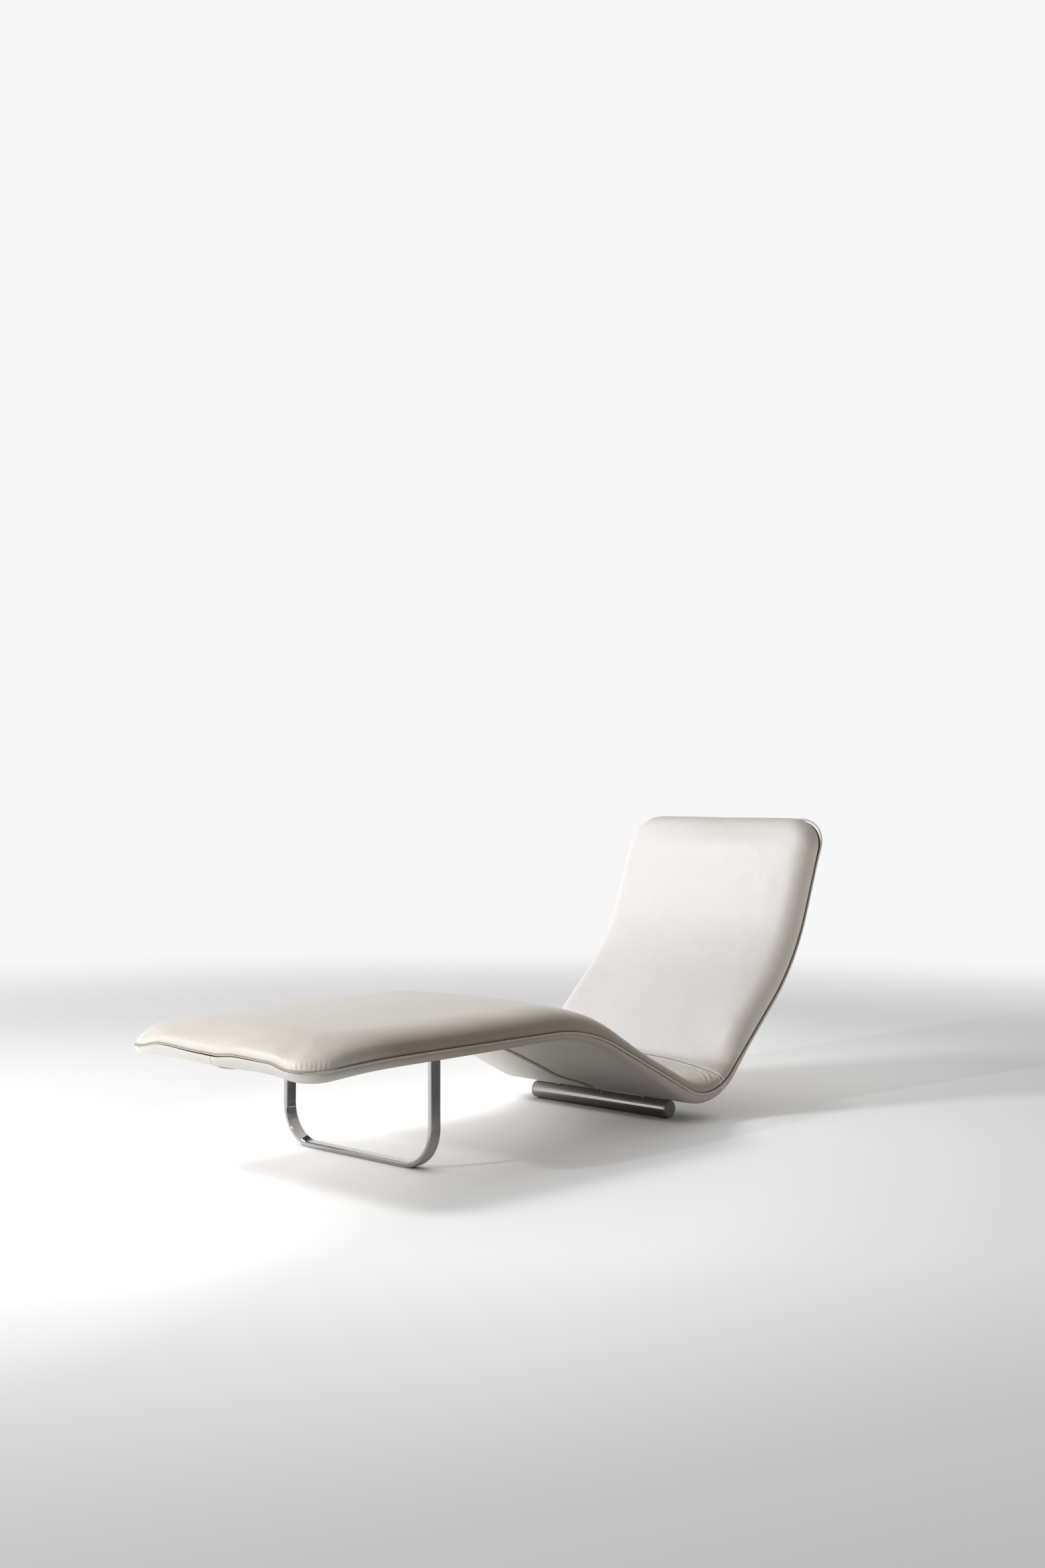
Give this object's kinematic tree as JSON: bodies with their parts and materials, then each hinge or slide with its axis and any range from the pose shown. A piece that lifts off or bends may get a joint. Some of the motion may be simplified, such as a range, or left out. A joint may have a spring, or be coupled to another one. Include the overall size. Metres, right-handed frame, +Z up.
{
  "type": "chaise longue",
  "caption": "Low leather chaise longue with a padded body bent at knee, seat and shoulder, on a chrome U-shaped bar leg and a chrome floor cylinder.",
  "frame": {"origin": "on the floor, at the centre of the bounding box's bottom face", "axes": "+X across the width, +Y along the length from the foot to the head, +Z up"},
  "size_m": [0.6284, 1.7954, 0.7292],
  "materials": {
    "upper_leather": "cream leather, satin",
    "lower_leather": "cream leather, satin",
    "piping": "cream leather rolled over cord",
    "leg_chrome": "polished chrome",
    "cylinder_chrome": "polished chrome",
    "cap_steel": "satin turned steel",
    "floor_felt": "brown felt",
    "frame_steel": "black painted steel",
    "webbing": "woven elastic webbing",
    "foam": "open-cell polyurethane foam",
    "wadding": "fibre wadding",
    "fastener_steel": "zinc-plated steel"
  },
  "bodies": {
    "root": {"top_cover_leg": "upper_leather", "top_cover_back": "upper_leather", "bottom_cover_left": "lower_leather", "bottom_cover_right": "lower_leather", "bottom_seam_band": "lower_leather", "welt_left": "piping", "welt_right": "piping", "u_leg": "leg_chrome", "cylinder_tube": "cylinder_chrome", "cylinder_cap_left": "cap_steel", "cylinder_cap_right": "cap_steel", "floor_strip": "floor_felt", "rail_left": "frame_steel", "rail_right": "frame_steel", "cross_tube_foot": "frame_steel", "cross_tube_leg_front": "frame_steel", "cross_tube_leg_rear": "frame_steel", "cross_tube_knee": "frame_steel", "cross_tube_loin": "frame_steel", "cross_tube_shoulder": "frame_steel", "cross_tube_head": "frame_steel", "leg_plate_left": "frame_steel", "leg_plate_right": "frame_steel", "seat_plate": "frame_steel", "webbing_straps": "webbing", "foam_leg": "foam", "foam_seat": "foam", "foam_back": "foam", "foam_head": "foam", "pad_leg": "wadding", "pad_seat": "wadding", "pad_back": "wadding", "leg_screws": "fastener_steel", "cylinder_bolts": "fastener_steel", "cylinder_spacers": "fastener_steel", "cylinder_slugs": "fastener_steel"}
  },
  "joints": []
}
